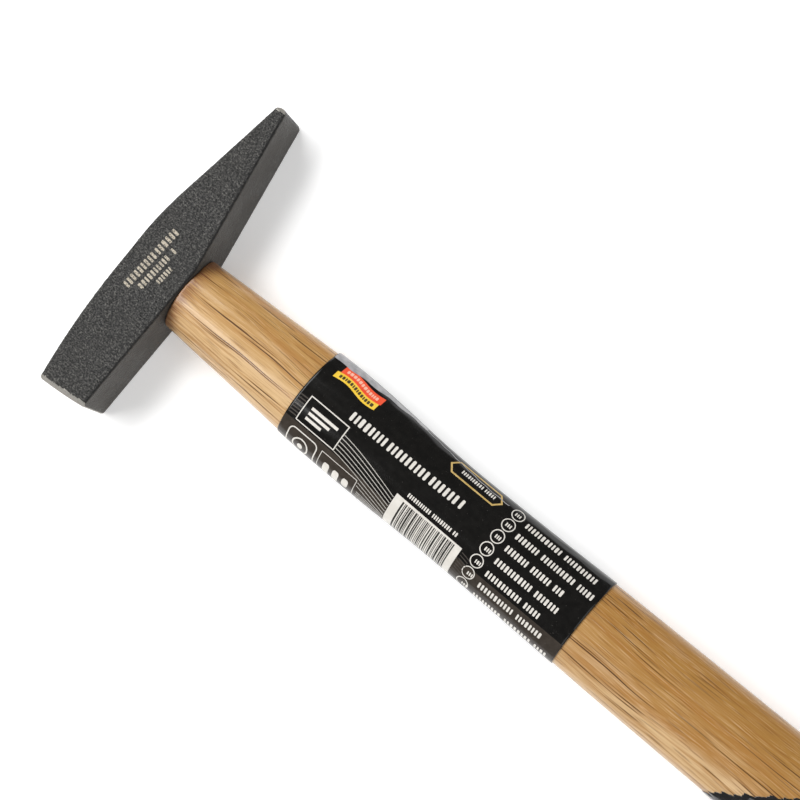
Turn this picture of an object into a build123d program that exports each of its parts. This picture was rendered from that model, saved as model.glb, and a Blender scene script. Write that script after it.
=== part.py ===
from build123d import *
import math
import os

# A 100 g fitter's cross peen hammer, lying on one cheek. Millimetres.
# The shape is drawn about the handle's axis: +X runs from the head to the butt, +Y from the
# striking face to the peen, and Z across the thickness. It is then moved, so that the origin is the
# middle of the bottom of its bounding box.

# Head, a drop forging of one thickness with a tapered oval eye
head_thick = 15.1
face_y = -35.25
face_lean = 0.70
face_crown = 0.20
face_top_x = -6.4
face_bottom_x = 6.3
crest_x = -8.9
crest_y = 5.4
peen_hollow = (-6.85, 22.9)
belly_x = 6.85
belly_y = 5.4
belly_round = 8.0
nose_y = 46.5
nose_round = 1.0
nose_x = -1.6
nose_half = 1.55
long_edge_round = 0.7
face_chamfer = 1.15
face_edge_break = 0.35
nose_cut_long = 1.0
nose_cut_deep = 0.8

# Eye and tenon, widest at the top so that the wedged tenon can't draw out
eye_top = (16.0, 9.4)
eye_bottom = (14.6, 8.4)
tenon_proud = 0.3

# Handle, bare wood. Each guide point is a place along the handle, with half the width and half the
# thickness there: a slim neck, a swell, a waist, and a grip that widens to the butt.
handle_long = 260.0
shoulder_x = 5.0
neck = (25.4, 10.10, 7.05)
swell = (52.7, 11.20, 7.00)
waist = (87.0, 10.50, 6.80)
palm = (135.0, 11.20, 7.00)
grip_middle = (185.0, 11.60, 7.15)
section_count = 15
# The neck and the swell stand a little towards the peen, and the rest is on the axis.
lean_high = 0.44
lean_end_x = 64.0
lean_fade = 6.0
oval_end_ratio = 0.62
butt_round = 3.6

# Wedges
kerf_deep = 12.0
kerf_top = 1.9
kerf_tip = 0.4
steel_wide = 8.0
steel_deep = 11.0
steel_top = 2.0
steel_tip = 0.5
steel_turn = 38.0
steel_barbs = 4
barb_high = 0.18

# Coats over the wood
label_start = 43.3
label_end = 123.8
film_thick = 0.20
dip_thick = 0.25
dip_middle_x = 181.0
dip_slant = 1.30

tenon_end = crest_x - tenon_proud
butt_x = tenon_end + handle_long
shoulder = (shoulder_x, 9.10, 7.20)
butt = (butt_x, 12.50, 7.30)


def oval(width, thick, end_ratio=oval_end_ratio):
    """A flattened oval of four tangent arcs, the width along Y and the thickness along Z."""
    half = width / 2
    side = thick / 2
    end_round = end_ratio * side
    reach = half - end_round
    side_round = (reach**2 + side**2 - end_round**2) / (2 * (side - end_round))
    turn = math.atan2(reach, side_round - side)
    joint_y = side_round * math.sin(turn)
    joint_z = side_round * math.cos(turn) - (side_round - side)
    upper = ThreePointArc((-joint_y, joint_z), (0, side), (joint_y, joint_z))
    right = ThreePointArc((joint_y, joint_z), (half, 0), (joint_y, -joint_z))
    lower = ThreePointArc((joint_y, -joint_z), (0, -side), (-joint_y, -joint_z))
    left = ThreePointArc((-joint_y, -joint_z), (-half, 0), (-joint_y, joint_z))
    return make_face([upper, right, lower, left])


def across(x):
    """The plane at x along the handle, whose own x and y are the part's Y and Z."""
    return Plane(origin=(x, 0, 0), x_dir=(0, 1, 0), z_dir=(1, 0, 0))


def head_profile():
    """The head seen from the cheek: a straight-bottomed poll, a flat crest and a hollow peen."""
    face_top = (face_top_x, face_y - face_lean)
    face_bottom = (face_bottom_x, face_y + face_lean)
    face_middle = (
        (face_top_x + face_bottom_x) / 2,
        face_y - face_crown,
    )
    nose_top = (nose_x - nose_half, nose_y - nose_round)
    nose_bottom = (nose_x + nose_half, nose_y - nose_round)
    face = ThreePointArc(face_top, face_middle, face_bottom)
    poll_top = Spline(
        face_top,
        (crest_x, -crest_y),
        tangents=[(-0.16, 1), (0, 1)],
    )
    crest = Line((crest_x, -crest_y), (crest_x, crest_y - 1))
    peen_top = Spline(
        (crest_x, crest_y - 1),
        peen_hollow,
        nose_top,
        tangents=[(0, 1), (0.16, 1)],
    )
    nose = ThreePointArc(nose_top, (nose_x, nose_y), nose_bottom)
    belly = FilletPolyline(
        nose_bottom,
        (belly_x, belly_y),
        face_bottom,
        radius=belly_round,
    )
    return make_face([face, poll_top, crest, peen_top, nose, belly])


def head_prism():
    """The head's outline through its whole thickness, sharp-edged and with no eye."""
    return extrude(head_profile(), amount=head_thick / 2, both=True)


def nose_corner_cut():
    """The head's outline seen from above, with the two corners of the peen's nose cut off."""
    side = head_thick / 2
    far = 2 * face_y
    half_outline = [(far, side), (nose_y - nose_cut_long, side), (nose_y, side - nose_cut_deep)]
    other_half = [(y, -z) for y, z in reversed(half_outline)]
    outline = Plane.YZ * make_face(Polyline(*half_outline, *other_half, close=True))
    return extrude(outline, amount=head_thick, both=True)


def tenon_blank():
    """The tapered oval that fills the eye, a little longer than the head is high."""
    bottom_x = belly_x + 1.5
    top = across(tenon_end) * oval(*eye_top)
    bottom = across(bottom_x) * oval(*eye_bottom)
    return loft([top, bottom], ruled=True)


def make_head():
    body = head_prism()
    cheek_sides = body.faces().sort_by(Axis.Y)[0].edges().filter_by(GeomType.CIRCLE)
    body = chamfer(cheek_sides, face_chamfer)
    top_and_bottom = body.faces().sort_by(Axis.Y)[0].edges().filter_by(GeomType.LINE)
    body = chamfer(top_and_bottom, face_edge_break)
    cheek_edges = [
        edge
        for edge in body.edges().group_by(Axis.Z)[0] + body.edges().group_by(Axis.Z)[-1]
        if face_y + 3 < edge.center().Y < nose_y - 2
    ]
    body = fillet(cheek_edges, long_edge_round)
    return (body & nose_corner_cut()) - tenon_blank()


def handle_blank(extra=0.0):
    """The shaped grip from the shoulder to the butt, thicker by extra all round."""
    guide = Spline(shoulder, neck, swell, waist, palm, grip_middle, butt)
    sections = []
    for index in range(section_count):
        part = index / (section_count - 1)
        at = guide @ part
        lean = lean_high / (1 + math.exp((at.X - lean_end_x) / lean_fade))
        place = across(at.X + part * extra) * Pos(lean, 0, 0)
        sections.append(place * oval(2 * (at.Y + extra), 2 * (at.Z + extra)))
    body = loft(sections)
    butt_edges = body.faces().sort_by(Axis.X)[-1].edges()
    return fillet(butt_edges, butt_round + extra)


def kerf_wedge():
    """The wedge-shaped space of the sawn kerf, along the eye's length."""
    top = across(tenon_end) * Rectangle(2 * eye_top[0], kerf_top)
    tip = across(tenon_end + kerf_deep) * Rectangle(2 * eye_top[0], kerf_tip)
    return loft([top, tip], ruled=True)


def make_steel_wedge():
    """A flat wedge with barbs on both faces, driven in askew across the kerf."""
    pitch = steel_deep / steel_barbs
    taper = (steel_top - steel_tip) / (2 * steel_deep)
    one_side = []
    for index in range(steel_barbs):
        start = index * pitch
        one_side.append((start, steel_top / 2 - taper * start))
        end = start + pitch
        one_side.append((end, steel_top / 2 - taper * end - barb_high))
    other_side = [(x, -z) for x, z in reversed(one_side)]
    section = make_face(Polyline(*one_side, *other_side, close=True))
    flat = Plane.XZ.offset(-steel_wide / 2) * section
    body = extrude(flat, amount=steel_wide)
    body = body.rotate(Axis.X, steel_turn)
    return Pos(tenon_end, 0, 0) * body


def dip_side():
    """Everything on the butt's side of the slanted line that the dip coat stops at."""
    reach = 60.0
    near_low = (dip_middle_x - dip_slant * reach, -reach)
    near_high = (dip_middle_x + dip_slant * reach, reach)
    far_high = (butt_x + reach, reach)
    far_low = (butt_x + reach, -reach)
    side = make_face(Polyline(near_low, near_high, far_high, far_low, close=True))
    return extrude(side, amount=head_thick, both=True)


def make_pieces():
    steel_wedge = make_steel_wedge()
    tenon = tenon_blank()
    wedge_space = kerf_wedge() & tenon
    grip = handle_blank()
    wood = (grip - head_prism()) + tenon
    label_wrap = handle_blank(film_thick) & (
        Pos((label_start + label_end) / 2, 0, 0)
        * Box(label_end - label_start, 60, 60)
    )
    dip_wrap = handle_blank(dip_thick) & dip_side()
    return {
        "head": make_head(),
        "handle": wood - wedge_space - steel_wedge,
        "wooden_wedge": wedge_space - steel_wedge,
        "steel_wedge": steel_wedge,
        "label_film": label_wrap - grip,
        "end_lacquer": dip_wrap - grip,
    }


pieces = make_pieces()
whole = Compound(children=[Part(piece.wrapped) for piece in pieces.values()]).bounding_box()
to_origin = Pos(-whole.center().X, -whole.center().Y, -whole.min.Z)

os.makedirs("parts", exist_ok=True)
for name, piece in pieces.items():
    export_step(to_origin * piece, f"parts/{name}.step")
print("box", whole.size, "middle", whole.center())
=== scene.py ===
import bmesh
import bpy
import math
import random
from mathutils import Matrix, Vector, noise


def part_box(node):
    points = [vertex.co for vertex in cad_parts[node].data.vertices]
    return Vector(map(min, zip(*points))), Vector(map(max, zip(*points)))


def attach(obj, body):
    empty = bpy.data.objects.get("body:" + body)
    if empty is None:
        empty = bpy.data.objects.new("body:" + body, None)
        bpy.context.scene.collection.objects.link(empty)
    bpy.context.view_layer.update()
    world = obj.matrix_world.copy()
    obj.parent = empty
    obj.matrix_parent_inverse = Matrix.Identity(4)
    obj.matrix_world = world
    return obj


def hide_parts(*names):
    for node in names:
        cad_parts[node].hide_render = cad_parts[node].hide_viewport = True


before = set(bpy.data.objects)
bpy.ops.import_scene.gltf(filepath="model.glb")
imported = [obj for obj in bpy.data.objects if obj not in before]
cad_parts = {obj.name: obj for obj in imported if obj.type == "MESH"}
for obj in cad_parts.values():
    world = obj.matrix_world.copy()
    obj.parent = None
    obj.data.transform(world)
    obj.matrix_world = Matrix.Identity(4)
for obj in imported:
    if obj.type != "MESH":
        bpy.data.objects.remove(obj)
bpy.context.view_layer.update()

# ------------------------------------------------------------------ the hammer's own axes
# Lengths below are metres. "Along" is counted from the head towards the butt, "across" from the
# striking face towards the peen, and both are zero where the handle's axis passes the head.
MM = 0.001
TENON_TOP = -9.2 * MM
handle_low, handle_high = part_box("handle")
head_low, head_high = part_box("head")
label_low, label_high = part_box("label_film")
coat_low, coat_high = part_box("end_lacquer")
ORIGIN = Vector((
    handle_low.x - TENON_TOP,
    (coat_low.y + coat_high.y) / 2,
    (head_low.z + head_high.z) / 2,
))
BELLY = head_high.x - ORIGIN.x
BELLY_BEND = 5.4 * MM
BELLY_SLOPE = 0.167
CHEEK = head_high.z
BUTT = handle_high.x - ORIGIN.x
LABEL_START = label_low.x - ORIGIN.x
LABEL_END = label_high.x - ORIGIN.x
LABEL_LONG = LABEL_END - LABEL_START
COAT_THICK = coat_high.x - handle_high.x
FILM_THICK = 0.2 * MM

# Handle: place along, half the width and half the thickness of the bare wood
GUIDE = [
    (5.0 * MM, 9.10 * MM, 7.20 * MM),
    (25.4 * MM, 10.10 * MM, 7.05 * MM),
    (52.7 * MM, 11.20 * MM, 7.00 * MM),
    (87.0 * MM, 10.50 * MM, 6.80 * MM),
    (135.0 * MM, 11.20 * MM, 7.00 * MM),
    (185.0 * MM, 11.60 * MM, 7.15 * MM),
    (BUTT, 12.50 * MM, 7.30 * MM),
]
OVAL_END_RATIO = 0.62
BUTT_ROUND = 3.6 * MM
EYE_TOP = (8.0 * MM, 4.7 * MM)
EYE_BOTTOM = (7.3 * MM, 4.2 * MM)
LEAN_HIGH, LEAN_END, LEAN_FADE = 0.44 * MM, 64.0 * MM, 6.0 * MM

# How far each surface is sunk, so that its relief stays inside the CAD solid
WOOD_SUNK = 0.05 * MM
COAT_SUNK = 0.04 * MM
COAT_FOOT = 0.12 * MM
STEEL_SUNK = 0.03 * MM
PAINT_SUNK = 0.025 * MM


def slope_at(column, index):
    """The guide's slope at one of its points, from the points on each side."""
    before = GUIDE[max(index - 1, 0)]
    after = GUIDE[min(index + 1, len(GUIDE) - 1)]
    return (after[column] - before[column]) / (after[0] - before[0])


def half_sizes(along):
    """Half the width and half the thickness of the wood, on a smooth curve through the guide."""
    index = 0
    while index < len(GUIDE) - 2 and along > GUIDE[index + 1][0]:
        index += 1
    start, end = GUIDE[index], GUIDE[index + 1]
    run = end[0] - start[0]
    part = (along - start[0]) / run
    found = []
    for column in (1, 2):
        found.append(
            start[column] * (2 * part**3 - 3 * part**2 + 1)
            + slope_at(column, index) * run * (part**3 - 2 * part**2 + part)
            + end[column] * (3 * part**2 - 2 * part**3)
            + slope_at(column, index + 1) * run * (part**3 - part**2)
        )
    return found


def lean(along):
    """How far the neck leans towards the peen, fading out down the grip."""
    return LEAN_HIGH / (1 + math.exp((along - LEAN_END) / LEAN_FADE))


def quarter_oval(half, side):
    """The two radii and the turn of the side arc that make up a quarter of the oval."""
    end_round = OVAL_END_RATIO * side
    reach = half - end_round
    side_round = (reach**2 + side**2 - end_round**2) / (2 * (side - end_round))
    turn = math.atan2(reach, side_round - side)
    return end_round, side_round, turn, reach


def quarter_length(half, side):
    end_round, side_round, turn, _ = quarter_oval(half, side)
    return side_round * turn + end_round * (math.pi / 2 - turn)


def oval_point(half, side, arc):
    """The oval's point at an arc length from the middle of its upper side, towards the peen."""
    quarter = quarter_length(half, side)
    arc = (arc + 2 * quarter) % (4 * quarter) - 2 * quarter
    end_round, side_round, turn, reach = quarter_oval(half, side)
    rest = min(abs(arc), 2 * quarter - abs(arc))
    if rest < side_round * turn:
        angle = rest / side_round
        across = side_round * math.sin(angle)
        up = side_round * math.cos(angle) - (side_round - side)
    else:
        angle = turn + (rest - side_round * turn) / end_round
        across = reach + end_round * math.sin(angle)
        up = end_round * math.cos(angle)
    if abs(arc) > quarter:
        up = -up
    return math.copysign(across, arc), up


def on_handle(along, arc, lift):
    """A point of the handle's surface, lifted off the wood."""
    half, side = half_sizes(along)
    across, up = oval_point(half + lift, side + lift, arc)
    return ORIGIN + Vector((along, across + lean(along), up))


# ------------------------------------------------------------------ meshes
def add_piece(name, mesh, materials, smooth=True):
    piece = bpy.data.objects.new(name, mesh)
    bpy.context.scene.collection.objects.link(piece)
    for material in materials:
        mesh.materials.append(material)
    for polygon in mesh.polygons:
        polygon.use_smooth = smooth
    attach(piece, "root")
    return piece


def mesh_from(form, name):
    bmesh.ops.recalc_face_normals(form, faces=form.faces)
    mesh = bpy.data.meshes.new(name)
    form.to_mesh(mesh)
    form.free()
    return mesh


def join_rings(form, rings, loop=False):
    """Quads between rings of points, with a cap on each end or, as a loop, joined back on themselves."""
    made = [[form.verts.new(point) for point in ring] for ring in rings]
    pairs = list(zip(made, made[1:]))
    if loop:
        pairs.append((made[-1], made[0]))
    for first, second in pairs:
        for index in range(len(first)):
            after = (index + 1) % len(first)
            form.faces.new((first[index], first[after], second[after], second[index]))
    if not loop:
        form.faces.new(made[0])
        form.faces.new(made[-1])


RING_POINTS = 144
RING_STEP = 0.6 * MM


def hand_shaping(point):
    """How far the sanding left the wood off its true oval: long and shallow."""
    long_wave = noise.noise(Vector((point.x * 28, point.y * 150, point.z * 150)))
    short_wave = noise.noise(Vector((point.x * 90 + 7, point.y * 420, point.z * 420)))
    return (0.060 * long_wave + 0.018 * short_wave) * MM


def handle_ring(along, inset=0.0, at=None):
    """A ring of the bare wood, pulled in by inset, with the sanding's unevenness."""
    half, side = half_sizes(along)
    quarter = quarter_length(half - inset, side - inset)
    ring = []
    for index in range(RING_POINTS):
        arc = 4 * quarter * index / RING_POINTS
        across, up = oval_point(half - inset, side - inset, arc)
        point = ORIGIN + Vector((along if at is None else at, across + lean(along), up))
        out = Vector((0, across, up)).normalized()
        ring.append(point + out * (hand_shaping(point) - WOOD_SUNK))
    return ring


def belly_at(across):
    """Where the head's underside lies along the handle."""
    return BELLY - BELLY_SLOPE * max(0.0, across - BELLY_BEND)


SHOULDER_ROUND = 0.5 * MM
SHOULDER_FADE = 8.0 * MM


def shoulder_ring(step):
    """The neck's ring a given way below the head, its edge crushed a little against the steel."""
    along = BELLY + step
    crush = 0.0
    if step < SHOULDER_ROUND:
        crush = SHOULDER_ROUND - math.sqrt(SHOULDER_ROUND**2 - (SHOULDER_ROUND - step) ** 2)
    ring = []
    for point in handle_ring(along, inset=0.6 * crush):
        frayed = noise.noise(Vector((point.y * 1900, point.z * 1900, 3))) * 0.10 * MM
        near = max(0.0, 1 - step / SHOULDER_FADE)
        shift = (belly_at(point.y - ORIGIN.y) - BELLY) * near
        out = Vector((0, point.y - ORIGIN.y, point.z - ORIGIN.z)).normalized()
        ring.append(point + Vector((shift, 0, 0)) + out * frayed * near**6)
    return ring


def tenon_ring(along):
    """The tenon's ring in the tapered eye, a hair clear of the steel."""
    part = (along - TENON_TOP) / (BELLY + 1.5 * MM - TENON_TOP)
    clear = 0.03 * MM
    half = EYE_TOP[0] + (EYE_BOTTOM[0] - EYE_TOP[0]) * part - clear
    side = EYE_TOP[1] + (EYE_BOTTOM[1] - EYE_TOP[1]) * part - clear
    quarter = quarter_length(half, side)
    ring = []
    for index in range(RING_POINTS):
        across, up = oval_point(half, side, 4 * quarter * index / RING_POINTS)
        ring.append(ORIGIN + Vector((along, across, up)))
    return ring


def make_handle(material):
    """One piece of wood: the tenon in the eye, the crushed shoulder, the grip and the round butt."""
    rings = []
    tenon_from = TENON_TOP + 0.12 * MM
    tenon_to = BELLY - 1.2 * MM
    for index in range(9):
        rings.append(tenon_ring(tenon_from + (tenon_to - tenon_from) * index / 8))
    step = 0.0
    while step < SHOULDER_FADE:
        rings.append(shoulder_ring(step))
        step += 0.1 * MM if step < SHOULDER_ROUND else RING_STEP
    along = BELLY + SHOULDER_FADE
    while along < BUTT - BUTT_ROUND:
        rings.append(handle_ring(along))
        along += RING_STEP
    for index in range(10):
        angle = math.pi / 2 * index / 9
        at = BUTT - BUTT_ROUND + (BUTT_ROUND - WOOD_SUNK) * math.sin(angle)
        rings.append(handle_ring(BUTT - BUTT_ROUND, BUTT_ROUND * (1 - math.cos(angle)), at))
    form = bmesh.new()
    join_rings(form, rings)
    piece = add_piece("wood_handle", mesh_from(form, "wood_handle"), [material])
    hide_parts("handle")


SEAM_ARC = 14.6 * MM
SEAM_HIGH = 0.07 * MM
FLAP_ARC = 10.6 * MM
FLAP_HIGH = 0.30 * MM
FLAP_LONG = 30.0 * MM


def smooth_step(value):
    value = min(1.0, max(0.0, value))
    return value * value * (3 - 2 * value)


def film_lift(along, arc, whole):
    """The film's height over the wood: a loose flap by the peen edge, an overlap seam, wrinkles."""
    lap = SEAM_HIGH * smooth_step((arc - SEAM_ARC) / (0.5 * MM))
    lap *= 1 - smooth_step((arc - SEAM_ARC) / (4.0 * MM))
    loose = 1 - smooth_step((along - LABEL_START) / FLAP_LONG)
    flap = FLAP_HIGH * smooth_step((arc - FLAP_ARC) / (3.4 * MM)) * loose
    flap *= 1 - smooth_step((arc - FLAP_ARC - 3.4 * MM) / (3.0 * MM))
    near_peen = math.exp(-(((arc - 11.8 * MM) / (1.9 * MM)) ** 2))
    wrinkle = noise.noise(Vector((along * 260, arc * 900, 5))) * 0.06 * MM * near_peen
    ripple = noise.noise(Vector((along * 70, arc * 180, 9))) * 0.012 * MM
    return whole + lap + flap + wrinkle + ripple


def make_label(material):
    """The printed film: a thin closed sleeve with an overlap seam on the side of the peen."""
    count = 2 * RING_POINTS
    outer, inner = [], []
    steps = max(2, int(LABEL_LONG / (0.5 * MM)))
    for index in range(steps + 1):
        along = LABEL_START + LABEL_LONG * index / steps
        half, side = half_sizes(along)
        quarter = quarter_length(half + FILM_THICK, side + FILM_THICK)
        arcs = [4 * quarter * turn / count - 2 * quarter for turn in range(count)]
        outer.append([on_handle(along, arc, film_lift(along, arc, FILM_THICK)) for arc in arcs])
        inner.append([on_handle(along, arc, 0.02 * MM) for arc in arcs])
    form = bmesh.new()
    join_rings(form, outer + inner[::-1], loop=True)
    piece = add_piece("label_sleeve", mesh_from(form, "label_sleeve"), [material])
    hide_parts("label_film")


COAT_MIDDLE = 181.0 * MM
COAT_SLANT = 1.30
COAT_EDGE = 1.6 * MM


def coat_start(arc, quarter):
    """Where the dip coat begins: a slanted line, torn into short tongues along the grain."""
    across, _ = oval_point(11.6 * MM, 7.2 * MM, arc)
    tongue = noise.noise(Vector((arc * 900, 2, 0))) * 1.6 * MM
    fine = noise.noise(Vector((arc * 3200, 8, 0))) * 0.7 * MM
    return COAT_MIDDLE + COAT_SLANT * across + tongue + fine


def make_end_coat(material):
    """The thick black dip coat, with a soft bead at its edge and a sag towards the butt."""
    count = 2 * RING_POINTS
    half, side = half_sizes(200 * MM)
    quarter = quarter_length(half, side)
    arcs = [4 * quarter * turn / count - 2 * quarter for turn in range(count)]
    starts = [coat_start(arc, quarter) for arc in arcs]
    last = BUTT - BUTT_ROUND
    outer, inner = [], []
    steps = 110
    for index in range(steps + 1):
        part = (index / steps) ** 1.4
        ring_out, ring_in = [], []
        for turn, start in enumerate(starts):
            along = start + (last - start) * part
            wide, thick = half_sizes(along)
            arc = arcs[turn] * quarter_length(wide, thick) / quarter
            edge = min(1.0, (along - start) / COAT_EDGE)
            bead = COAT_THICK * (0.25 + 0.75 * math.sin(math.pi / 2 * edge))
            ring_out.append(on_handle(along, arc, bead - COAT_SUNK))
            ring_in.append(on_handle(along, arc, -COAT_FOOT))
        outer.append(ring_out)
        inner.append(ring_in)
    wide, thick = half_sizes(last)
    for index in range(1, 12):
        angle = math.pi / 2 * index / 11
        inset = BUTT_ROUND * (1 - math.cos(angle))
        at = last + (BUTT_ROUND + COAT_THICK) * math.sin(angle)
        grown = COAT_THICK - COAT_SUNK - inset
        whole = quarter_length(wide + grown, thick + grown)
        ring = []
        for turn in range(count):
            across, up = oval_point(wide + grown, thick + grown, 4 * whole * turn / count - 2 * whole)
            ring.append(ORIGIN + Vector((at, across, up)))
        outer.append(ring)
    form = bmesh.new()
    join_rings(form, inner[::-1] + outer)
    piece = add_piece("end_coat", mesh_from(form, "end_coat"), [material])
    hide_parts("end_lacquer")


# ------------------------------------------------------------------ head
FACE_GROUND_FROM = head_low.y + 3.0 * MM
NOSE_GROUND_FROM = head_high.y - 1.4 * MM
POLL_SMOOTH_TO = head_low.y + 16.0 * MM


def is_ground(centre, normal):
    """True on the bare steel: the striking face with its bevels and the peen's cut corners."""
    chip = 0.16 * noise.noise(centre * 2300) + 0.08 * noise.noise(centre * 900)
    if centre.y < FACE_GROUND_FROM and normal.y < -0.34 + chip:
        return True
    return centre.y > NOSE_GROUND_FROM and normal.y > 0.3 + chip and abs(normal.z) > 0.42 + chip


def pebble(centre, normal):
    """The forging's orange-peel relief, flatter on the poll and under the head."""
    coarse = noise.noise(centre * 1500)
    fine = noise.noise(centre * 2700 + Vector((4, 4, 4)))
    smooth_poll = min(1.0, max(0.0, (centre.y - head_low.y - 4 * MM) / (POLL_SMOOTH_TO - head_low.y)))
    strength = 0.35 + 0.65 * smooth_poll
    if normal.x > 0.6:
        strength *= 0.45
    return (0.050 * coarse + 0.055 * fine) * MM * strength


def make_head(paint, ground):
    """The forging, remeshed finely so that its pebbled skin and worn edges are real relief."""
    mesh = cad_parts["head"].data.copy()
    mesh.materials.clear()
    rough = bpy.data.objects.new("head_work", mesh)
    bpy.context.scene.collection.objects.link(rough)
    remesh = rough.modifiers.new("fine", "REMESH")
    remesh.mode = "VOXEL"
    remesh.voxel_size = 0.245 * MM
    bpy.context.view_layer.update()
    shown = rough.evaluated_get(bpy.context.evaluated_depsgraph_get())
    fine = bpy.data.meshes.new_from_object(shown)
    fine.name = "forged_head"
    bpy.data.objects.remove(rough)
    grounds = [is_ground(polygon.center, polygon.normal) for polygon in fine.polygons]
    normals = [vertex.normal.copy() for vertex in fine.vertices]
    bare = set()
    for polygon, flag in zip(fine.polygons, grounds):
        if flag:
            bare.update(polygon.vertices)
    for vertex, normal in zip(fine.vertices, normals):
        lift = -STEEL_SUNK
        if vertex.index not in bare:
            lift += pebble(vertex.co, normal) - PAINT_SUNK
        vertex.co += normal * lift
    piece = add_piece("forged_head", fine, [paint, ground])
    for polygon, flag in zip(fine.polygons, grounds):
        polygon.material_index = 1 if flag else 0
    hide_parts("head")


# ------------------------------------------------------------------ print and etched marks
def slab(form, grid, place, top, bottom, ring=False):
    """A thin closed slab over a grid of (s, t) points, laid on a surface by place(s, t, lift).

    As a ring, its last row joins its first, so it has sides and no ends.
    """
    upper = [[form.verts.new(place(s, t, top)) for s, t in row] for row in grid]
    lower = [[form.verts.new(place(s, t, bottom)) for s, t in row] for row in grid]
    rows, last = len(grid), len(grid[0]) - 1
    for i in range(rows if ring else rows - 1):
        after = (i + 1) % rows
        for j in range(last):
            for layer in (upper, lower):
                corners = (layer[i][j], layer[i][j + 1], layer[after][j + 1], layer[after][j])
                form.faces.new(corners)
        for j in (0, last):
            form.faces.new((upper[i][j], upper[after][j], lower[after][j], lower[i][j]))
    for i in () if ring else (0, rows - 1):
        for j in range(last):
            form.faces.new((upper[i][j], upper[i][j + 1], lower[i][j + 1], lower[i][j]))


def cut_sides(corners, pieces_for):
    """Points round a closed outline, with each side cut into pieces_for(its length) equal runs."""
    points = []
    for first, second in zip(corners, corners[1:] + corners[:1]):
        pieces = pieces_for(math.dist(first, second))
        for index in range(pieces):
            part = index / pieces
            points.append((
                first[0] + (second[0] - first[0]) * part,
                first[1] + (second[1] - first[1]) * part,
            ))
    return points


class Print:
    """Marks of one colour on one surface, in millimetres along (s) and around (t)."""

    def __init__(self, place, top, bottom, step=0.6):
        self.form = bmesh.new()
        self.place = place
        self.top = top
        self.bottom = bottom
        self.step = step

    def band(self, start, end, low, high, columns=None):
        """Fills between two curves, low(s) and high(s)."""
        columns = columns or max(1, math.ceil((end - start) / (2 * self.step)))
        places = [start + (end - start) * index / columns for index in range(columns + 1)]
        tallest = max(high(s) - low(s) for s in places)
        rows = max(1, math.ceil(tallest / self.step))
        grid = []
        for s in places:
            grid.append([(s, low(s) + (high(s) - low(s)) * row / rows) for row in range(rows + 1)])
        slab(self.form, grid, self.place, self.top, self.bottom)

    def block(self, start, end, low, high):
        self.band(start, end, lambda s: low, lambda s: high)

    def soft_block(self, start, end, low, high, corner):
        """A rectangle with round corners."""
        def cut(s):
            edge = min(s - start, end - s)
            if edge >= corner:
                return 0.0
            return corner - math.sqrt(max(0.0, corner**2 - (corner - edge) ** 2))

        self.band(start, end, lambda s: low + cut(s), lambda s: high - cut(s), columns=8)

    def disc(self, centre_s, centre_t, radius):
        def chord(s):
            return math.sqrt(max(0.0, radius**2 - (s - centre_s) ** 2)) + 0.01

        reach = radius * 0.999
        self.band(
            centre_s - reach,
            centre_s + reach,
            lambda s: centre_t - chord(s),
            lambda s: centre_t + chord(s),
            columns=10,
        )

    def stroke(self, points, width, closed=False):
        """A line of even width along the points, mitred at its corners."""
        count = len(points)
        grid = []
        for stop in range(count):
            here = Vector(points[stop])
            before = Vector(points[stop - 1]) if closed or stop else here
            after = Vector(points[(stop + 1) % count]) if closed or stop < count - 1 else here
            first = (here - before).normalized() if (here - before).length else None
            second = (after - here).normalized() if (after - here).length else None
            first, second = first or second, second or first
            along = (first + second).normalized()
            side = Vector((-along.y, along.x))
            reach = width / 2 / max(0.3, side.dot(Vector((-first.y, first.x))))
            grid.append([tuple(here - side * reach), tuple(here + side * reach)])
        slab(self.form, grid, self.place, self.top, self.bottom, ring=closed)

    def ring(self, centre_s, centre_t, radius, width, sides=28):
        points = []
        for index in range(sides):
            angle = 2 * math.pi * index / sides
            points.append((centre_s + radius * math.cos(angle), centre_t + radius * math.sin(angle)))
        self.stroke(points, width, closed=True)

    def frame(self, start, end, low, high, width, corner=0.0, sides=5):
        """An outline, square or with round corners, in short runs so that it follows the curve."""
        if not corner:
            corner, sides = 0.01, 1
        points = []
        centres = [
            (end - corner, high - corner, 0),
            (start + corner, high - corner, 1),
            (start + corner, low + corner, 2),
            (end - corner, low + corner, 3),
        ]
        for s, t, quarter in centres:
            for index in range(sides + 1):
                angle = math.pi / 2 * (quarter + index / sides)
                points.append((s + corner * math.cos(angle), t + corner * math.sin(angle)))
        fine = cut_sides(points, lambda gap: max(1, math.ceil(gap / self.step)))
        self.stroke(fine, width, closed=True)

    def dummy_words(self, start, end, middle, height, seed, slant=0.0, word_gap=0.6):
        """A row of upright pills with the rhythm of words and no letters in it."""
        dice = random.Random(seed)
        s = start
        left_in_word = dice.randint(7, 12)
        while s < end - 0.25 * height:
            wide = height * dice.choice((0.24, 0.28, 0.28, 0.34))
            wide = min(wide, end - s)
            base = middle - height / 2 + slant * (s - start)
            self.soft_block(s, s + wide, base, base + 0.82 * height, 0.10 * height)
            s += wide + 0.20 * height
            left_in_word -= 1
            if left_in_word == 0:
                s += word_gap * height
                left_in_word = dice.randint(6, 11)

    def finish(self, name, material):
        add_piece(name, mesh_from(self.form, name), [material], smooth=False)


def on_label(s, t, lift):
    """A point on the film, from millimetres along it and around it."""
    along = LABEL_START + s * MM
    return on_handle(along, t * MM, film_lift(along, t * MM, FILM_THICK) + lift)


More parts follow.
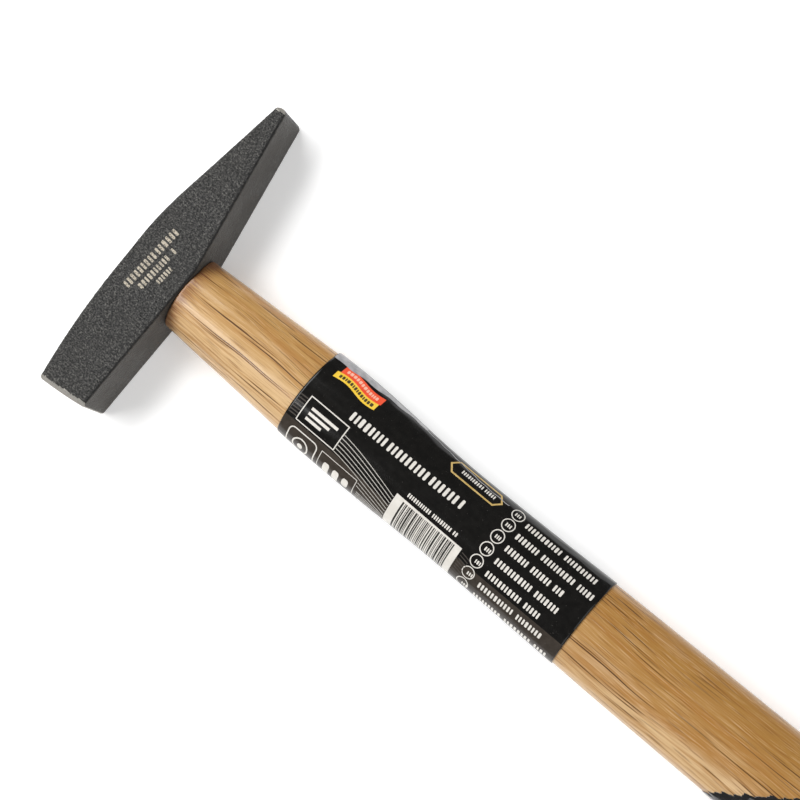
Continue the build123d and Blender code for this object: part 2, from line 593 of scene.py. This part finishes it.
# Heights of the inks over the film, each layer a little above the one it is printed on
PANEL_TOP = 0.012 * MM
RIBBON_TOP = 0.020 * MM
INK_TOP = 0.024 * MM
PLATE_TOP = 0.028 * MM
RIBBON_MARK_TOP = 0.034 * MM
BAR_TOP = 0.036 * MM
# Height of the painted reflection strip over the film.
REFLECTION_STRIP_TOP = 0.05 * MM
FOOT = -0.06 * MM
UPPER_FOOT = -0.02 * MM

# The label's layout in millimetres: along it from the head's end, and around it towards the peen
TITLE = (12.6, 44.6)
BARCODE = (31.5, 50.4)
BARCODE_LOW = -15.2
BOX = (2.9, 14.0, -6.3, 0.1)
ROUND_PICTURE = (2.7, 10.7, -15.9, -8.1)
SQUARE_PICTURE = (12.0, 22.4, -15.9, -8.3)
FAN_START, FAN_LONG, FAN_STOPS = 14.2, 17.1, 12
FAN_LINES, FAN_FROM_BOX = 8, 6
LIST_ROWS = 7
LIST_TOP = 9.9
LIST_PITCH = 3.57
LIST_ENDS = (78.2, 79.2, 73.8, 75.1, 72.9, 77.1, 79.2)


def ribbon_wave(s):
    """The ribbon's slow wave, dipping at its start and rising at its end."""
    return 0.45 * math.sin((s - 3.4) / 12.3 * 2 * math.pi)


def panel_edge(s):
    """The grey panel's upper edge: straight, with a shallow dip under the fanned lines."""
    return -6.75 - 0.9 * math.exp(-(((s - 34) / 12) ** 2))


def print_grey_panel(material):
    """The lower part of the label, in dark grey."""
    sheet = Print(on_label, PANEL_TOP, FOOT)
    sheet.band(0.15, LABEL_LONG / MM - 0.15, lambda s: -17.2, panel_edge, columns=60)
    sheet.finish("print_grey_panel", material)


def print_ribbon(red, yellow, light, dark):
    """A two-colour waving ribbon near the start of the label."""
    upper = Print(on_label, RIBBON_TOP, FOOT)
    upper.band(3.9, 15.7, lambda s: 8.6 + ribbon_wave(s), lambda s: 10.9 + ribbon_wave(s), 14)
    upper.finish("print_ribbon_red", red)
    lower = Print(on_label, RIBBON_TOP, FOOT)
    lower.band(3.2, 15.4, lambda s: 6.7 + ribbon_wave(s), lambda s: 8.6 + ribbon_wave(s), 14)
    lower.finish("print_ribbon_yellow", yellow)
    for name, ink, start, middle, seed in (
        ("print_ribbon_marks_light", light, 4.9, 9.75, 21),
        ("print_ribbon_marks_dark", dark, 4.3, 7.65, 22),
    ):
        marks = Print(on_label, RIBBON_MARK_TOP, UPPER_FOOT)
        dice = random.Random(seed)
        s = start
        while s < 14.6:
            wide = dice.choice((0.35, 0.6, 0.6, 0.75))
            base = middle - 0.42 + ribbon_wave(s)
            marks.soft_block(s, s + wide, base, base + 0.9, 0.15)
            s += wide + 0.2
        marks.finish(name, ink)


def print_white(material):
    """The light ink: title, size box, picture frames, code patch, ringed list and the plate's row."""
    ink = Print(on_label, INK_TOP, FOOT)
    ink.dummy_words(*TITLE, 2.75, 2.75, 4, slant=0.02, word_gap=0.15)
    ink.dummy_words(33.7, 48.2, -2.65, 1.25, 5, word_gap=0.4)
    ink.frame(*BOX, 0.26)
    for row in range(3):
        ink.block(4.6, 12.3 - 1.6 * row, -2.35 - 1.3 * row, -1.65 - 1.3 * row)
    ink.frame(*ROUND_PICTURE, 0.30, corner=1.3)
    ink.ring(6.7, -11.8, 2.1, 0.38)
    ink.disc(6.7, -11.8, 0.75)
    ink.frame(*SQUARE_PICTURE, 0.16)
    for start in (13.6, 16.4, 19.2):
        ink.soft_block(start, start + 1.7, -14.6 + (start - 13.6) * 0.35, -10.2, 0.6)
    ink.band(*BARCODE, lambda s: BARCODE_LOW, lambda s: -4.1 - 0.012 * (s - BARCODE[0]), columns=30)
    for row in range(LIST_ROWS):
        middle = LIST_TOP - LIST_PITCH * row
        ink.ring(55.0 - 0.1 * row, middle, 1.52, 0.24)
        ink.dummy_words(54.3, 55.9, middle, 1.15, 60 + row)
        ink.dummy_words(57.8, LIST_ENDS[row], middle - 0.55, 1.9, 30 + row, word_gap=0.45)
    ink.dummy_words(39.3, 48.6, 9.6, 1.25, 12, word_gap=0.3)
    ink.finish("print_light_ink", material)


def paint_film_reflection(material):
    """Painted reflection on the film by the peen side: a grey strip where the clear edge of the wrapped
    film catches the light, wide at the head end, and then a thin painted highlight line.
    """
    strip = Print(on_label, REFLECTION_STRIP_TOP, FOOT)

    def inner_edge(s):
        return 11.0 + 1.3 * smooth_step(s / 26) + 0.18 * math.sin(s * 0.9) * smooth_step(s / 4)

    strip.band(0.1, 27.0, inner_edge, lambda s: 13.9 - 0.6 * smooth_step(s / 26), columns=40)
    # The thin painted highlight line along a wrinkle of the film.
    points = []
    for index in range(29):
        s = 24.0 + index
        points.append((s, 12.3 - 1.9 * smooth_step((s - 24) / 24) + 0.10 * math.sin(s * 1.7)))
    strip.stroke(points, 0.20)
    strip.finish("painted_film_reflection", material)


def print_fine_lines(pale, dim):
    """Lines swept from the size box to the code patch, and short hatchings beside both."""
    fan = Print(on_label, INK_TOP, FOOT)
    for index in range(FAN_LINES):
        first_stop = 0 if index < FAN_FROM_BOX else FAN_STOPS // 2
        points = []
        for stop in range(first_stop, FAN_STOPS + 1):
            along = stop / FAN_STOPS
            points.append((FAN_START + FAN_LONG * along, -1.9 - 0.9 * index - 3.5 * along**1.4))
        fan.stroke(points, 0.17)
    for index in range(7):
        t = -11.0 - 0.55 * index
        fan.stroke([(23.4, t), (26.0, t - 0.25), (28.6, t - 0.6), (31.3, t - 1.1)], 0.15)
    fan.finish("print_fan_lines", pale)
    hatch = Print(on_label, INK_TOP, FOOT)
    for index in range(7):
        t = -1.0 - 0.8 * index
        hatch.stroke([(0.4, t), (1.5, t + 0.06), (2.6, t + 0.1)], 0.30)
        hatch.stroke([(50.9, t - 4.0), (52.0, t - 4.2), (53.3, t - 4.5)], 0.22)
    hatch.finish("print_hatching", dim)


def print_code_bars(material):
    """Dark bars of uneven width on the light patch; they code nothing."""
    bars = Print(on_label, BAR_TOP, UPPER_FOOT)
    dice = random.Random(40)
    s = BARCODE[0] + 2.2
    while s < BARCODE[1] - 1.6:
        wide = dice.choice((0.16, 0.16, 0.30, 0.44))
        bars.block(s, s + wide, BARCODE_LOW, -4.75)
        s += wide + dice.choice((0.14, 0.20, 0.32))
    bars.finish("print_code_bars", material)


def print_plate(material):
    """A plain gold outline with cut corners, where a maker would put a sign."""
    plate = Print(on_label, PLATE_TOP, FOOT)
    corners = [(37.6, 7.6), (49.2, 7.6), (50.6, 9.4), (49.2, 11.4), (37.6, 11.4), (36.2, 9.4)]
    plate.stroke(cut_sides(corners, lambda gap: 6), 0.42, closed=True)
    plate.finish("print_gold_plate", material)


ETCH_TURN = math.radians(4.4)


def on_cheek(s, t, lift):
    """A point on the upper cheek: s towards the peen and t towards the head's top."""
    across = s * math.cos(ETCH_TURN) + t * math.sin(ETCH_TURN)
    along = s * math.sin(ETCH_TURN) - t * math.cos(ETCH_TURN)
    return Vector((ORIGIN.x + along * MM, ORIGIN.y + across * MM, CHEEK + lift))


def etch_head(material):
    """Three pale rows of pills burnt into the paint of the cheek."""
    marks = Print(on_cheek, -0.014 * MM, -0.22 * MM, step=0.5)
    marks.dummy_words(-7.4, 9.4, 3.7, 2.4, 71, word_gap=0.1)
    marks.dummy_words(-5.5, 6.3, 0.9, 2.0, 75)
    marks.dummy_words(-1.9, 3.0, -1.5, 1.6, 73, word_gap=0.1)
    marks.finish("etched_marks", material)


# ------------------------------------------------------------------ materials
class Shader:
    """A node material: a Principled surface and short calls that add nodes to it."""

    def __init__(self, name, **sockets):
        self.material = bpy.data.materials.new(name)
        self.material.use_nodes = True
        self.tree = self.material.node_tree
        self.surface = self.tree.nodes["Principled BSDF"]
        for socket, value in sockets.items():
            self.surface.inputs[socket.replace("_", " ")].default_value = value
        place = self.tree.nodes.new("ShaderNodeTexCoord")
        self.place = self.stretch(place.outputs["Object"], (1000, 1000, 1000))

    def add(self, kind, inputs, output=0, **settings):
        made = self.tree.nodes.new(kind)
        for name, value in settings.items():
            setattr(made, name, value)
        for name, value in inputs.items():
            if isinstance(value, bpy.types.NodeSocket):
                self.tree.links.new(value, made.inputs[name])
            else:
                made.inputs[name].default_value = value
        return made.outputs[output]

    def stretch(self, vector, scale, shift=(0, 0, 0)):
        return self.add("ShaderNodeMapping", {"Vector": vector, "Scale": scale, "Location": shift})

    def noise(self, vector, scale, detail=3.0, rough=0.5):
        inputs = {"Vector": vector, "Scale": scale, "Detail": detail, "Roughness": rough}
        return self.add("ShaderNodeTexNoise", inputs)

    def cells(self, vector, scale):
        return self.add("ShaderNodeTexVoronoi", {"Vector": vector, "Scale": scale})

    def ramp(self, factor, low, high, start=0.0, end=1.0, smooth=True):
        """Maps low..high to start..end, held flat outside."""
        inputs = {"Value": factor, "From Min": low, "From Max": high, "To Min": start, "To Max": end}
        kind = "SMOOTHSTEP" if smooth else "LINEAR"
        return self.add("ShaderNodeMapRange", inputs, interpolation_type=kind)

    def math(self, operation, first, second):
        return self.add("ShaderNodeMath", {0: first, 1: second}, operation=operation)

    def mix(self, factor, first, second):
        made = self.tree.nodes.new("ShaderNodeMix")
        made.data_type = "RGBA"
        for name, value in (("Factor_Float", factor), ("A_Color", first), ("B_Color", second)):
            socket = next(each for each in made.inputs if each.identifier == name)
            if isinstance(value, bpy.types.NodeSocket):
                self.tree.links.new(value, socket)
            elif name == "Factor_Float":
                socket.default_value = value
            else:
                socket.default_value = (*value, 1)
        return next(each for each in made.outputs if each.identifier == "Result_Color")

    def axis(self, vector, name):
        made = self.tree.nodes.new("ShaderNodeSeparateXYZ")
        self.tree.links.new(vector, made.inputs[0])
        return made.outputs[name]

    def bump(self, height, strength, distance):
        inputs = {"Height": height, "Strength": strength, "Distance": distance}
        return self.add("ShaderNodeBump", inputs)

    def wire(self, **sockets):
        for socket, value in sockets.items():
            self.tree.links.new(value, self.surface.inputs[socket.replace("_", " ")])
        return self.material


def paint_material():
    """Dark paint on a pebbled forging: painted shade in the hollows and grey painted highlights, partly
    rubbed wear, on the high spots.
    """
    shader = Shader("forged_paint", Specular_IOR_Level=0.24)
    facing = shader.add("ShaderNodeNewGeometry", {}, output="Normal")
    # Painted light: faces turned towards the butt, under the head, are made lighter where the floor
    # lights them.
    under = shader.ramp(shader.axis(facing, "X"), 0.62, 0.88)
    # Painted shade: the round edges between cheek and underside are darkened as if shaded and reflecting
    # dark.
    edge = shader.math(
        "MULTIPLY",
        shader.ramp(shader.axis(facing, "X"), 0.12, 0.4),
        shader.ramp(shader.axis(facing, "Z"), 0.3, 0.6),
    )
    pebbles = shader.noise(shader.stretch(shader.place, (1.0, 1.25, 1.25)), 2.3, 2.5, 0.6)
    cells = shader.cells(shader.place, 1.7)
    cloudy = shader.noise(shader.place, 0.12, 4.0, 0.55)
    # Pebble tones are partly painted light: near-black painted shade in the bump's hollows, grey painted
    # highlights on its high spots, with some rubbed wear.
    tone = shader.mix(shader.ramp(pebbles, 0.38, 0.54), (0.007, 0.007, 0.007), (0.040, 0.039, 0.037))
    tone = shader.mix(shader.ramp(pebbles, 0.55, 0.67), tone, (0.118, 0.114, 0.105))
    tone = shader.mix(shader.ramp(cloudy, 0.40, 0.75, 0.0, 0.25), tone, (0.050, 0.048, 0.044))
    # Painted light on the head's underside.
    tone = shader.mix(shader.math("MULTIPLY", under, 0.75), tone, (0.066, 0.060, 0.052))
    # Painted shade and dark reflection on the round edges.
    tone = shader.mix(shader.math("MULTIPLY", edge, 0.8), tone, (0.009, 0.009, 0.009))
    height = shader.math("ADD", pebbles, shader.math("MULTIPLY", cells, 0.5))
    return shader.wire(
        Base_Color=tone,
        Roughness=shader.ramp(cloudy, 0.3, 0.7, 0.36, 0.52),
        Normal=shader.bump(height, 0.9, 0.00032),
    )


def ground_material():
    """Bare steel left by the grinding wheel: fine scratches and a little haze."""
    shader = Shader("ground_steel", Metallic=0.75)
    scratches = shader.noise(shader.stretch(shader.place, (9.0, 0.5, 0.5)), 3.0, 3.0, 0.65)
    haze = shader.noise(shader.place, 0.9, 3.0, 0.5)
    tone = shader.mix(shader.ramp(scratches, 0.3, 0.7), (0.25, 0.235, 0.21), (0.44, 0.42, 0.385))
    tone = shader.mix(shader.ramp(haze, 0.5, 0.8, 0.0, 0.5), tone, (0.17, 0.15, 0.13))
    return shader.wire(
        Base_Color=tone,
        Roughness=shader.ramp(scratches, 0.3, 0.7, 0.38, 0.56),
        Normal=shader.bump(scratches, 0.35, 0.00006),
    )


def etch_material():
    """Paint burnt off by a laser: pale and dotted, with dark paint left between the dots."""
    shader = Shader("etched_mark", Specular_IOR_Level=0.3)
    dots = shader.noise(shader.place, 4.2, 1.0, 0.4)
    tone = shader.mix(shader.ramp(dots, 0.36, 0.50), (0.11, 0.10, 0.08), (0.46, 0.41, 0.33))
    return shader.wire(
        Base_Color=tone,
        Roughness=shader.ramp(dots, 0.3, 0.7, 0.55, 0.8),
        Normal=shader.bump(dots, 0.5, 0.0001),
    )


def wood_material():
    """Honey-coloured oak under clear lacquer: streaks, long thin pores, flecks and cut end grain."""
    shader = Shader("lacquered_oak", Coat_Weight=0.7, Coat_Roughness=0.15, Specular_IOR_Level=0.2)
    drift = shader.noise(shader.stretch(shader.place, (0.022, 0.10, 0.10)), 1.0, 2.0, 0.4)
    drift_amount = shader.ramp(drift, 0.0, 1.0, -2.2, 2.2, smooth=False)
    push = shader.add("ShaderNodeCombineXYZ", {"Y": drift_amount})
    grain = shader.add("ShaderNodeVectorMath", {0: shader.place, 1: push}, operation="ADD")
    rings = shader.noise(shader.stretch(grain, (1 / 55, 1 / 2.2, 1 / 2.2)), 1.0, 2.0, 0.5)
    fibres = shader.noise(shader.stretch(grain, (0.09, 4.6, 4.6)), 1.0, 3.0, 0.7)
    threads = shader.noise(shader.stretch(grain, (0.05, 2.0, 2.0), (2, 2, 2)), 1.0, 2.0, 0.6)
    patches = shader.noise(shader.stretch(grain, (0.05, 0.16, 0.16), (3, 8, 1)), 1.0, 3.0, 0.5)
    flecks = shader.cells(shader.stretch(grain, (1 / 12, 1 / 0.36, 1 / 0.36), (5, 2, 7)), 1.0)
    vessels = shader.cells(shader.stretch(grain, (1 / 75, 1 / 0.58, 1 / 0.58), (1, 4, 6)), 1.0)
    dashes = shader.cells(shader.stretch(grain, (1 / 34, 1 / 0.46, 1 / 0.46), (7, 2, 3)), 1.0)
    pores = shader.math(
        "MAXIMUM",
        shader.ramp(vessels, 0.14, 0.26, 1.0, 0.0),
        shader.ramp(dashes, 0.12, 0.24, 0.6, 0.0),
    )
    halo = shader.ramp(vessels, 0.2, 0.52, 0.6, 0.0)
    streaks = shader.math("MAXIMUM", shader.ramp(rings, 0.50, 0.66, 0.0, 0.62), halo)
    across = shader.math("SUBTRACT", shader.axis(shader.place, "Y"), ORIGIN.y / MM)
    along = shader.math("SUBTRACT", shader.axis(shader.place, "X"), ORIGIN.x / MM)
    # Paler on the face side, ochre on the peen side: partly the wood's own tone, partly painted light
    # falling on the face side.
    side = shader.math("ADD", across, shader.ramp(patches, 0.2, 0.8, -5.0, 5.0))
    peen_ochre_and_painted_face_light = shader.ramp(side, -6.0, 6.0)
    tone = shader.mix(peen_ochre_and_painted_face_light, (0.610, 0.410, 0.210), (0.47, 0.270, 0.090))
    # Painted shadow: deeper, darker ochre down the grip away from the face side, where a holding hand
    # shaded the wood.
    painted_grip_shadow = shader.ramp(along, 85.0, 140.0, 0.0, 0.80)
    painted_grip_shadow = shader.math("MULTIPLY", painted_grip_shadow, shader.ramp(side, -8.5, -2.5))
    tone = shader.mix(painted_grip_shadow, tone, (0.365, 0.178, 0.036))
    # Painted sheen: milky lighter patches stand in for the lacquer's soft reflection.
    tone = shader.mix(shader.ramp(patches, 0.56, 0.76, 0.0, 0.4), tone, (0.64, 0.44, 0.265))
    tone = shader.mix(streaks, tone, (0.37, 0.165, 0.034))
    tone = shader.mix(shader.ramp(threads, 0.50, 0.70, 0.0, 0.42), tone, (0.32, 0.140, 0.030))
    tone = shader.mix(shader.ramp(fibres, 0.50, 0.70, 0.0, 0.42), tone, (0.30, 0.130, 0.030))
    tone = shader.mix(shader.ramp(fibres, 0.32, 0.48, 0.35, 0.0), tone, (0.80, 0.58, 0.34))
    fleck_mask = shader.ramp(flecks, 0.15, 0.27, 0.62, 0.0)
    tone = shader.mix(fleck_mask, tone, (0.20, 0.085, 0.025))
    tone = shader.mix(shader.math("MULTIPLY", pores, 0.92), tone, (0.050, 0.018, 0.007))
    below_head = shader.math("SUBTRACT", along, BELLY / MM)
    stained = shader.math("ADD", below_head, shader.ramp(fibres, 0.3, 0.7, -2.6, 2.6))
    tone = shader.mix(shader.ramp(stained, 0.0, 4.2, 0.8, 0.0), tone, (0.17, 0.055, 0.020))
    facing = shader.add("ShaderNodeNewGeometry", {}, output="Normal")
    end_grain = shader.ramp(shader.axis(facing, "X"), -0.95, -0.6, 0.85, 0.0)
    years = shader.noise(shader.stretch(shader.place, (0.0, 0.35, 2.6)), 1.0, 2.0, 0.5)
    cut_pores = shader.cells(shader.place, 3.2)
    cut_tone = shader.mix(shader.ramp(years, 0.38, 0.62), (0.20, 0.095, 0.036), (0.37, 0.205, 0.090))
    cut_tone = shader.mix(shader.ramp(cut_pores, 0.16, 0.34, 0.8, 0.0), cut_tone, (0.06, 0.025, 0.010))
    tone = shader.mix(end_grain, tone, cut_tone)
    pits = shader.math("MAXIMUM", fleck_mask, pores)
    height = shader.math("SUBTRACT", shader.math("MULTIPLY", fibres, 0.3), pits)
    return shader.wire(
        Base_Color=tone,
        Roughness=shader.ramp(fibres, 0.3, 0.7, 0.36, 0.50),
        Normal=shader.bump(height, 0.35, 0.00012),
    )


def wedge_wood_material():
    """The wedge's dry end grain, not lacquered."""
    shader = Shader("wedge_beech", Specular_IOR_Level=0.3)
    dots = shader.cells(shader.stretch(shader.place, (0.2, 1, 1)), 3.0)
    fibres = shader.noise(shader.stretch(shader.place, (0.1, 2, 6)), 1.0, 4.0, 0.6)
    tone = shader.mix(shader.ramp(fibres, 0.3, 0.7), (0.33, 0.19, 0.085), (0.46, 0.29, 0.15))
    tone = shader.mix(shader.ramp(dots, 0.1, 0.25, 0.8, 0.0), tone, (0.13, 0.06, 0.03))
    return shader.wire(
        Base_Color=tone,
        Roughness=shader.ramp(fibres, 0.3, 0.7, 0.6, 0.8),
        Normal=shader.bump(fibres, 0.4, 0.0001),
    )


def wedge_steel_material():
    """Rolled steel strip with hammer bruises on its end and a brown bloom."""
    shader = Shader("wedge_steel", Metallic=0.85)
    rolled = shader.noise(shader.stretch(shader.place, (0.6, 4, 4)), 1.0, 3.0, 0.6)
    bloom = shader.noise(shader.place, 1.3, 4.0, 0.6)
    tone = shader.mix(shader.ramp(rolled, 0.3, 0.7), (0.30, 0.29, 0.28), (0.46, 0.45, 0.44))
    tone = shader.mix(shader.ramp(bloom, 0.52, 0.72, 0.0, 0.7), tone, (0.20, 0.11, 0.06))
    return shader.wire(
        Base_Color=tone,
        Roughness=shader.ramp(bloom, 0.3, 0.7, 0.30, 0.55),
        Normal=shader.bump(rolled, 0.4, 0.00008),
    )


def film_material(name, colour, shade, coat=0.15):
    """Glossy printed film in one ink: faint mottling, dust and handling marks."""
    shader = Shader(name, Coat_Weight=coat, Coat_Roughness=0.12, Specular_IOR_Level=0.30)
    mottle = shader.noise(shader.place, 0.7, 3.0, 0.55)
    dust = shader.noise(shader.stretch(shader.place, (1.0, 1.6, 1.6), (3, 1, 6)), 3.1, 1.0, 0.4)
    rubbed = shader.noise(shader.stretch(shader.place, (0.07, 0.5, 0.5)), 1.0, 4.0, 0.6)
    tone = shader.mix(shader.ramp(mottle, 0.3, 0.7), colour, shade)
    tone = shader.mix(shader.ramp(dust, 0.74, 0.82, 0.0, 0.3), tone, (0.24, 0.23, 0.21))
    return shader.wire(
        Base_Color=tone,
        Roughness=shader.ramp(rubbed, 0.3, 0.75, 0.10, 0.22),
        Normal=shader.bump(mottle, 0.10, 0.00005),
    )


def coat_material():
    """Thick black dip lacquer: deep gloss, a slow sag and a few specks."""
    shader = Shader("black_dip", Coat_Weight=0.8, Coat_Roughness=0.05, Specular_IOR_Level=0.5)
    sag = shader.noise(shader.stretch(shader.place, (0.06, 0.25, 0.25)), 1.0, 2.0, 0.5)
    specks = shader.noise(shader.place, 2.2, 2.0, 0.5)
    tone = shader.mix(shader.ramp(specks, 0.62, 0.8), (0.010, 0.010, 0.010), (0.030, 0.029, 0.028))
    return shader.wire(
        Base_Color=tone,
        Roughness=shader.ramp(sag, 0.3, 0.7, 0.10, 0.22),
        Normal=shader.bump(sag, 0.35, 0.0006),
    )


def floor_material():
    """Pale matt paper with a faint cloud in it and a slight glow."""
    shader = Shader("pale_floor", Specular_IOR_Level=0.1, Roughness=0.9)
    cloud = shader.noise(shader.place, 0.004, 2.0, 0.5)
    shader.surface.inputs["Emission Color"].default_value = (1, 1, 1, 1)
    shader.surface.inputs["Emission Strength"].default_value = FLOOR_GLOW
    return shader.wire(Base_Color=shader.mix(cloud, (0.90, 0.90, 0.90), (0.92, 0.92, 0.92)))


# ------------------------------------------------------------------ set, lights and camera
FLOOR_REACH = 30.0
FLOOR_GLOW = 0.30
SKY_STRENGTH = 0.14
LIGHT_DISTANCE = 0.9

# Name, direction round the hammer and above it in degrees, size in metres and power in watts
LIGHTS = [
    ("box_peen_side", 158, 42, 0.6, 5.9),
    ("box_butt_side", 8, 42, 0.8, 2.6),
    ("box_face_side", -152, 44, 0.6, 6.0),
    ("box_grip_side", -60, 30, 0.6, 1.6),
]


def make_floor():
    """A wide plain sheet that the hammer lies on."""
    form = bmesh.new()
    bmesh.ops.create_grid(form, x_segments=8, y_segments=8, size=FLOOR_REACH)
    floor = bpy.data.objects.new("floor", mesh_from(form, "floor"))
    floor.data.materials.append(floor_material())
    bpy.context.scene.collection.objects.link(floor)


def add_light(name, azimuth, elevation, size, power):
    """A square soft box that faces the hammer from a direction round it."""
    turn, rise = math.radians(azimuth), math.radians(elevation)
    away = Vector((math.cos(turn) * math.cos(rise), math.sin(turn) * math.cos(rise), math.sin(rise)))
    lamp = bpy.data.lights.new(name, "AREA")
    lamp.shape = "SQUARE"
    lamp.size = size
    lamp.energy = power
    holder = bpy.data.objects.new(name, lamp)
    holder.location = LOOK_AT + away * LIGHT_DISTANCE
    holder.rotation_euler = (-away).to_track_quat("-Z", "Y").to_euler()
    bpy.context.scene.collection.objects.link(holder)


LOOK_AT = ORIGIN + Vector((60.6, 12.1, 0.0)) * MM
CAMERA_AZIMUTH = math.radians(3.42)
CAMERA_HEIGHT = math.radians(77.22)
CAMERA_ROLL = math.radians(50.65)
CAMERA_DISTANCE = 480.7 * MM
LENS = 96.75


def make_camera():
    """Looks down on the cheek from a little towards the butt, rolled from head-up towards the peen."""
    away = Vector((math.cos(CAMERA_AZIMUTH), math.sin(CAMERA_AZIMUTH), math.tan(CAMERA_HEIGHT)))
    away.normalize()
    headward = (Vector((-1, 0, 0)) + away * away.x).normalized()
    up = headward * math.cos(CAMERA_ROLL) + headward.cross(away) * math.sin(CAMERA_ROLL)
    right = up.cross(away)
    camera = bpy.data.objects.new("camera", bpy.data.cameras.new("camera"))
    camera.data.lens = LENS
    camera.data.clip_start = 0.01
    camera.matrix_world = Matrix((right, up, away)).transposed().to_4x4()
    camera.location = LOOK_AT + away * CAMERA_DISTANCE
    bpy.context.scene.collection.objects.link(camera)
    bpy.context.scene.camera = camera


def make_studio():
    """A dim white sky and four soft boxes."""
    world = bpy.data.worlds.new("studio")
    world.use_nodes = True
    world.node_tree.nodes["Background"].inputs["Color"].default_value = (1, 1, 1, 1)
    world.node_tree.nodes["Background"].inputs["Strength"].default_value = SKY_STRENGTH
    bpy.context.scene.world = world
    bpy.context.scene.view_settings.view_transform = "Standard"
    for light in LIGHTS:
        add_light(*light)


# ------------------------------------------------------------------ build
make_camera()
make_studio()
make_floor()
white_ink = film_material("ink_white", (0.66, 0.63, 0.58), (0.72, 0.69, 0.64))
black_ink = film_material("ink_black", (0.0045, 0.0042, 0.0038), (0.0075, 0.0070, 0.0062))
make_head(paint_material(), ground_material())
make_handle(wood_material())
make_label(black_ink)
make_end_coat(coat_material())
print_grey_panel(film_material("ink_grey", (0.036, 0.029, 0.023), (0.047, 0.038, 0.031)))
print_ribbon(
    film_material("ink_red", (0.80, 0.085, 0.035), (0.86, 0.11, 0.05)),
    film_material("ink_yellow", (0.80, 0.52, 0.045), (0.86, 0.58, 0.07)),
    film_material("ink_pale_red", (0.86, 0.45, 0.33), (0.88, 0.50, 0.38)),
    film_material("ink_dark", (0.06, 0.045, 0.02), (0.08, 0.06, 0.03)),
)
print_white(white_ink)
print_fine_lines(
    film_material("ink_line", (0.46, 0.44, 0.40), (0.52, 0.50, 0.46)),
    film_material("ink_dim_line", (0.055, 0.048, 0.042), (0.075, 0.066, 0.058)),
)
# Painted reflection strip and highlight line on the film's peen-side edge.
paint_film_reflection(film_material("painted_film_edge_reflection", (0.27, 0.27, 0.28), (0.40, 0.39, 0.40)))
print_code_bars(film_material("ink_bar", (0.03, 0.028, 0.026), (0.04, 0.037, 0.034)))
print_plate(film_material("ink_gold", (0.50, 0.34, 0.11), (0.60, 0.43, 0.17)))
etch_head(etch_material())
for node, material in (("wooden_wedge", wedge_wood_material()), ("steel_wedge", wedge_steel_material())):
    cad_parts[node].data.materials.clear()
    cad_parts[node].data.materials.append(material)
